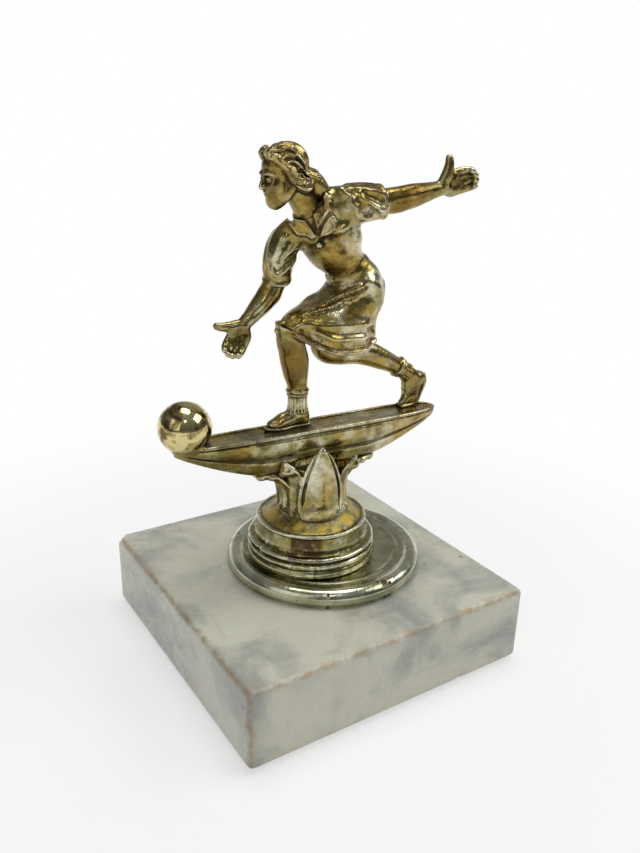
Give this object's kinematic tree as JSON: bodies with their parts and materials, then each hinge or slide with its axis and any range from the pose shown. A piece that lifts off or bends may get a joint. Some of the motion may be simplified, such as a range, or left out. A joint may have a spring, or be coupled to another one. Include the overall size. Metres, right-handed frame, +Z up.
{
  "type": "bowling trophy",
  "caption": "Cast figure of a bowler releasing a ball on a boat-shaped lane, carried by a leaf capital, a round pedestal, a pressed disc and a square marble base.",
  "frame": {"origin": "centre of the underside, at the bottom of the felt pads", "axes": "+Z up, -X towards the ball end of the lane, -Y to the front"},
  "size_m": [0.076, 0.076, 0.1227],
  "materials": {
    "felt": "dark green felt",
    "marble": "polished white marble with grey veins, aged edges",
    "disc_plate": "worn plated pressed steel with a greenish silver tone",
    "gilt": "antique gilt zinc casting, dark in the recesses",
    "bright_gilt": "polished gilt",
    "ball_gilt": "mirror-polished worn gilt",
    "fastener": "zinc-plated steel"
  },
  "bodies": {
    "root": {"felt_pads": "felt", "marble_base": "marble", "base_disc": "disc_plate", "pedestal": "bright_gilt", "leaf_capital": "gilt", "lane_platform": "gilt", "bowling_ball": "ball_gilt", "figure_body": "gilt", "figure_head": "gilt", "right_arm": "gilt", "left_arm": "gilt", "front_leg": "gilt", "rear_leg": "gilt", "tie_stud": "fastener", "flat_washer": "fastener", "lock_washer": "fastener", "hex_nut": "fastener"}
  },
  "joints": []
}
